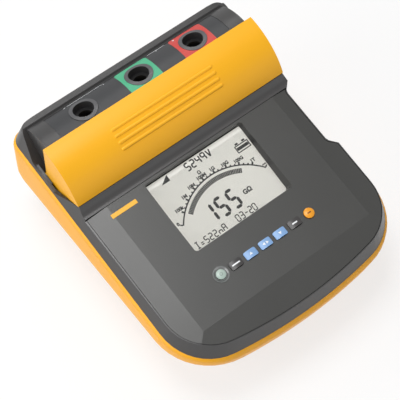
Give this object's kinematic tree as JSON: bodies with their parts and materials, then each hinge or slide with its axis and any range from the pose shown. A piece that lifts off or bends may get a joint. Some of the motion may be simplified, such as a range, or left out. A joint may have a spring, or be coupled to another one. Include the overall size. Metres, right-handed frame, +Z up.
{
  "type": "megohmmeter",
  "caption": "Desk-top insulation tester with a wedge-shaped housing, sloping display panel, push keys and a terminal barrel behind a swinging safety shutter.",
  "frame": {"origin": "centre of the bounding box at the level of the feet", "axes": "+X to the right of the display, +Y to the rear terminal barrel, +Z up"},
  "size_m": [0.242, 0.281, 0.1474],
  "materials": {
    "yellow_case": "fine texture",
    "grey_case": "fine texture",
    "grey_panel": "fine texture",
    "foot_rubber": "matt",
    "steel": "zinc plated",
    "terminal_grey": "satin",
    "green_patch": "satin",
    "red_patch": "satin",
    "socket_grey": "satin",
    "contact_brass": "nickel free",
    "black_plastic": "matt",
    "lead_rubber": "matt",
    "clear_window": "clear",
    "lcd_face": "satin",
    "white_plastic": "matt",
    "polished_ring": "polished",
    "power_key": "satin",
    "dark_key": "gloss",
    "blue_key": "satin",
    "orange_key": "satin",
    "mat_rubber": "matt",
    "board_green": "solder mask",
    "potting_black": "resin",
    "red_window": "gloss",
    "battery_grey": "matt"
  },
  "bodies": {
    "housing": {"lower_case": "yellow_case", "rubber_feet": "foot_rubber", "upper_case": "grey_case", "front_panel": "grey_panel", "shutter_pins": "steel", "terminal_panel": "terminal_grey", "guard_patch": "green_patch", "plus_patch": "red_patch", "socket_minus": "socket_grey", "socket_guard": "socket_grey", "socket_plus": "socket_grey", "socket_contacts": "contact_brass", "socket_nuts": "black_plastic", "socket_leads": "lead_rubber", "display_window": "clear_window", "display_module": "lcd_face", "backlight_frame": "white_plastic", "power_ring": "polished_ring", "keypad_mat": "mat_rubber", "key_board": "board_green", "main_board": "board_green", "board_parts": "black_plastic", "buzzer": "black_plastic", "high_voltage_module": "potting_black", "power_supply": "board_green", "mains_inlet": "black_plastic", "infrared_window": "red_window", "battery_pack": "battery_grey", "battery_clamp": "steel", "case_screws": "steel", "board_screws": "steel", "clamp_screws": "steel"},
    "shutter": {"safety_shutter": "yellow_case"},
    "power_button": {"power_button": "power_key"},
    "function_key": {"function_key": "dark_key"},
    "up_key": {"up_key": "blue_key"},
    "left_right_key": {"left_right_key": "blue_key"},
    "down_key": {"down_key": "blue_key"},
    "enter_key": {"enter_key": "dark_key"},
    "test_button": {"test_button": "orange_key"}
  },
  "joints": [
    {"name": "shutter_swing", "type": "hinge", "parent": "housing", "child": "shutter", "pos_m": [0, 0.0915, 0.0925], "axis": [-1, 0, 0], "range_deg": [0, 42]},
    {"name": "power_button_press", "type": "slide", "parent": "housing", "child": "power_button", "axis": [0, -0.134, 0.991], "range_m": [-0.001, 0], "stiffness_N_per_m": 600, "springref_m": 0.0006},
    {"name": "function_key_press", "type": "slide", "parent": "housing", "child": "function_key", "axis": [0, -0.134, 0.991], "range_m": [-0.001, 0], "stiffness_N_per_m": 600, "springref_m": 0.0006},
    {"name": "up_key_press", "type": "slide", "parent": "housing", "child": "up_key", "axis": [0, -0.134, 0.991], "range_m": [-0.001, 0], "stiffness_N_per_m": 600, "springref_m": 0.0006},
    {"name": "left_right_key_press", "type": "slide", "parent": "housing", "child": "left_right_key", "axis": [0, -0.134, 0.991], "range_m": [-0.001, 0], "stiffness_N_per_m": 600, "springref_m": 0.0006},
    {"name": "down_key_press", "type": "slide", "parent": "housing", "child": "down_key", "axis": [0, -0.134, 0.991], "range_m": [-0.001, 0], "stiffness_N_per_m": 600, "springref_m": 0.0006},
    {"name": "enter_key_press", "type": "slide", "parent": "housing", "child": "enter_key", "axis": [0, -0.134, 0.991], "range_m": [-0.001, 0], "stiffness_N_per_m": 600, "springref_m": 0.0006},
    {"name": "test_button_press", "type": "slide", "parent": "housing", "child": "test_button", "axis": [0, -0.134, 0.991], "range_m": [-0.001, 0], "stiffness_N_per_m": 600, "springref_m": 0.0006}
  ]
}
